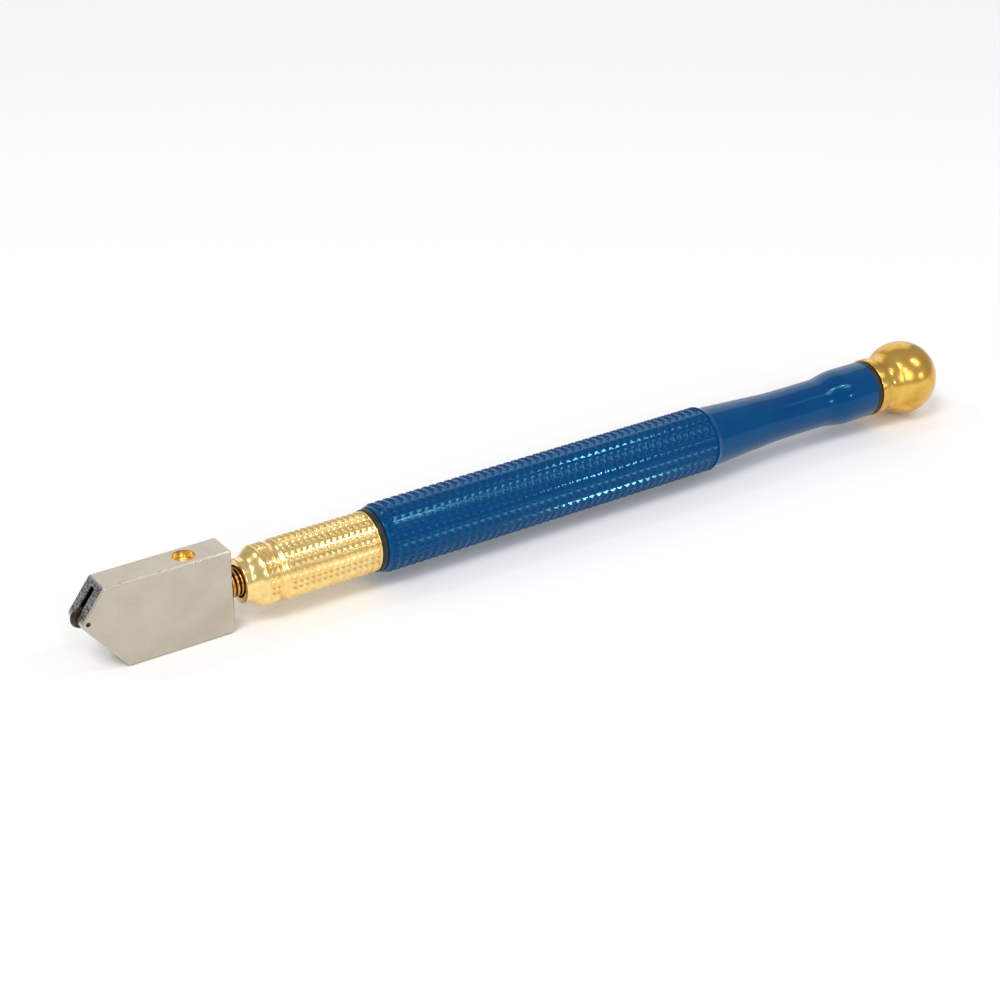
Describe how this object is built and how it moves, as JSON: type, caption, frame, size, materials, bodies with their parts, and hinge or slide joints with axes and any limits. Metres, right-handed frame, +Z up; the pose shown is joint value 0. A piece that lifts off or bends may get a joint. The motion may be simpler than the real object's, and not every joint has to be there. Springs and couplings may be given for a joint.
{
  "type": "glass cutter",
  "caption": "Pencil-grip oil-fed glass cutter: carbide wheel in a flat swivelling head, press valve, knurled tubular oil handle and screwed ball cap.",
  "frame": {"origin": "under the middle of the tool's length, on the surface that the head's lower narrow face stands on", "axes": "+X along the tool from the wheel to the ball cap, +Z up towards the head screw, +Y square to the head's broad faces"},
  "size_m": [0.18, 0.014, 0.015],
  "materials": {
    "nickel": "satin nickel plate over steel, dark rough slanted face round the wheel slot",
    "carbide": "ground tungsten carbide, brown with oil",
    "tool_steel": "hardened steel pin",
    "brass": "turned brass",
    "gold_plate": "polished and plated brass, diamond knurl on the ferrule",
    "blue_lacquer": "deep blue gloss lacquer over a knurled metal tube",
    "rubber": "dark oil-resistant rubber",
    "spring_steel": "drawn spring wire",
    "acetal": "white acetal",
    "felt": "oiled wool felt"
  },
  "bodies": {
    "handle": {"barrel": "blue_lacquer", "front_ferrule": "gold_plate", "ferrule_seal": "rubber", "valve_seat": "brass", "seat_o_ring": "rubber", "valve_spring": "spring_steel", "spring_retainer": "brass", "retainer_clip": "spring_steel"},
    "stem": {"valve_stem": "brass", "stem_o_ring": "rubber", "head_o_ring": "rubber", "valve_poppet": "acetal", "poppet_seal": "rubber"},
    "head": {"cutter_head": "nickel", "wheel_axle": "tool_steel", "oil_wick": "felt"},
    "wheel": {"cutting_wheel": "carbide"},
    "head_screw": {"head_screw": "brass"},
    "cap_seal": {"cap_seal": "rubber"},
    "ball_cap": {"ball_cap": "gold_plate"}
  },
  "joints": [
    {"name": "head_press", "type": "slide", "parent": "handle", "child": "stem", "axis": [1, 0, 0], "range_m": [0, 0.0008], "stiffness_N_per_m": 1500, "springref_m": -0.001, "deforming": ["valve_spring"]},
    {"name": "head_swivel", "type": "hinge", "parent": "stem", "child": "head", "pos_m": [-0.07035, 0, 0.0075], "axis": [1, 0, 0], "range_deg": [-10, 10]},
    {"name": "wheel_spin", "type": "hinge", "parent": "head", "child": "wheel", "pos_m": [-0.08825, 0, 0.0096], "axis": [0, 1, 0], "continuous": true},
    {"name": "head_screw_turn", "type": "hinge", "parent": "head", "child": "head_screw", "pos_m": [-0.07035, 0, 0.0137], "axis": [0, 0, 1], "range_deg": [0, 180]},
    {"name": "cap_travel", "type": "slide", "parent": "handle", "child": "cap_seal", "axis": [1, 0, 0], "range_m": [0, 0.007]},
    {"name": "cap_turn", "type": "hinge", "parent": "cap_seal", "child": "ball_cap", "pos_m": [0.07405, 0, 0.0075], "axis": [1, 0, 0], "range_deg": [0, 2520]}
  ],
  "couplings": [
    {"joint": "cap_travel", "follows": "cap_turn", "m_per_rad": 0.00015915}
  ]
}
